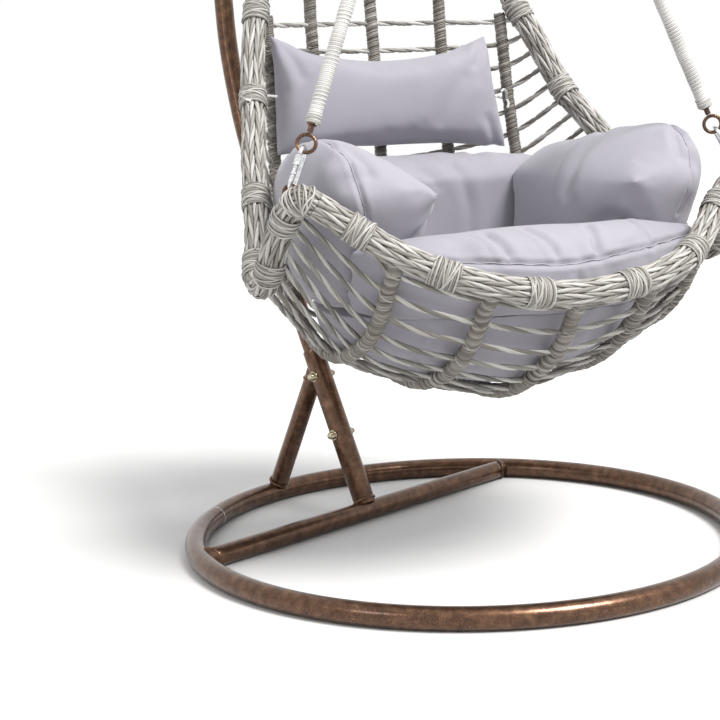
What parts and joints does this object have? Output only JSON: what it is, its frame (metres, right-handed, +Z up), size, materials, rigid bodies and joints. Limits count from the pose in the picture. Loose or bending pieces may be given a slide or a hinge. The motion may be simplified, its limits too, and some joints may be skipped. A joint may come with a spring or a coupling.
{
  "type": "hanging egg chair",
  "caption": "Woven egg-shaped basket seat with cushions, hung on wrapped rods, a swivel and a spring from a bent steel stand with a ring base.",
  "frame": {"origin": "on the floor, under the centre of the overall box", "axes": "+Z up, the stand's open front towards -Y, its post at +Y, +X to the right of someone who stands in front"},
  "size_m": [1.0486, 1.1554, 1.9675],
  "materials": {
    "bronze_paint": "satin",
    "plated_bolt": "satin",
    "zinc_steel": "gloss",
    "black_plastic": "matte",
    "cushion_fabric": "matte",
    "wicker_wrap": "satin",
    "wicker_braid": "satin"
  },
  "bodies": {
    "stand": {"arch_section": "bronze_paint", "base_ring": "bronze_paint", "bolt_lower": "plated_bolt", "bolt_upper": "plated_bolt", "cross_bar": "bronze_paint", "end_cap": "black_plastic", "hook_eye": "bronze_paint", "joint_spigot": "bronze_paint", "nut_lower": "plated_bolt", "nut_upper": "plated_bolt", "post_sleeve": "bronze_paint", "rear_brace": "bronze_paint", "upper_post": "bronze_paint"},
    "top_link": {"top_carabiner_body": "zinc_steel"},
    "top_gate": {"top_carabiner_gate": "zinc_steel"},
    "top_sleeve": {"top_carabiner_sleeve": "zinc_steel"},
    "spring": {"spring": "zinc_steel"},
    "swivel": {"swivel_body": "zinc_steel"},
    "left_gate": {"left_carabiner_gate": "zinc_steel"},
    "left_sleeve": {"left_carabiner_sleeve": "zinc_steel"},
    "right_gate": {"right_carabiner_gate": "zinc_steel"},
    "right_sleeve": {"right_carabiner_sleeve": "zinc_steel"},
    "basket": {"back_cushion": "cushion_fabric", "back_rod": "wicker_wrap", "back_rod_ring": "bronze_paint", "centre_left_net": "wicker_braid", "centre_right_net": "wicker_braid", "front_bolster": "cushion_fabric", "front_rim": "wicker_braid", "head_pillow": "cushion_fabric", "left_arm_eye": "bronze_paint", "left_arm_tube": "wicker_braid", "left_bolster": "cushion_fabric", "left_carabiner_body": "zinc_steel", "left_net": "wicker_braid", "left_rail": "wicker_braid", "left_rod": "wicker_wrap", "left_rod_ring": "bronze_paint", "left_side_net": "wicker_braid", "rib_1": "wicker_wrap", "rib_2": "wicker_wrap", "rib_3": "wicker_wrap", "rib_4": "wicker_wrap", "rib_5": "wicker_wrap", "right_arm_eye": "bronze_paint", "right_arm_tube": "wicker_braid", "right_bolster": "cushion_fabric", "right_carabiner_body": "zinc_steel", "right_net": "wicker_braid", "right_rail": "wicker_braid", "right_rod": "wicker_wrap", "right_rod_ring": "bronze_paint", "right_side_net": "wicker_braid", "seat_cushion": "cushion_fabric", "swivel_ring": "zinc_steel", "top_arch": "wicker_braid", "top_eye": "bronze_paint"}
  },
  "joints": [
    {"name": "swing_fore_aft", "type": "hinge", "parent": "stand", "child": "top_link", "pos_m": [0, -0.1165, 1.8927], "axis": [1, 0, 0], "range_deg": [-7, 4]},
    {"name": "swing_side", "type": "hinge", "parent": "top_link", "child": "spring", "pos_m": [0, -0.1165, 1.846], "axis": [0, 1, 0], "range_deg": [-7, 7]},
    {"name": "spring_bounce", "type": "slide", "parent": "spring", "child": "swivel", "axis": [0, 0, -1], "range_m": [-0.006, 0.04], "stiffness_N_per_m": 9000, "springref_m": -0.0415, "deforming": ["spring"]},
    {"name": "basket_swivel", "type": "hinge", "parent": "swivel", "child": "basket", "pos_m": [0, -0.1165, 1.7], "axis": [0, 0, 1], "continuous": true},
    {"name": "top_gate_hinge", "type": "hinge", "parent": "top_link", "child": "top_gate", "pos_m": [0.014, -0.1165, 1.85634], "axis": [0, -1, 0], "range_deg": [0, 20], "stiffness_Nm_per_rad": 0.05, "springref_deg": -17.19},
    {"name": "top_sleeve_screw", "type": "slide", "parent": "top_gate", "child": "top_sleeve", "axis": [0, 0, -1], "range_m": [0, 0.005]},
    {"name": "left_gate_hinge", "type": "hinge", "parent": "basket", "child": "left_gate", "pos_m": [-0.45919, -0.08823, 0.71346], "axis": [-0.4493, 0.8606, 0.2398], "range_deg": [0, 20], "stiffness_Nm_per_rad": 0.05, "springref_deg": -17.19},
    {"name": "left_sleeve_screw", "type": "slide", "parent": "left_gate", "child": "left_sleeve", "axis": [-0.4856, -0.0099, -0.8741], "range_m": [0, 0.005]},
    {"name": "right_gate_hinge", "type": "hinge", "parent": "basket", "child": "right_gate", "pos_m": [0.34133, -0.40617, 0.70687], "axis": [-0.6024, 0.6336, -0.4854], "range_deg": [0, 20], "stiffness_Nm_per_rad": 0.05, "springref_deg": -17.19},
    {"name": "right_sleeve_screw", "type": "slide", "parent": "right_gate", "child": "right_sleeve", "axis": [0.3484, -0.3385, -0.8741], "range_m": [0, 0.005]}
  ]
}
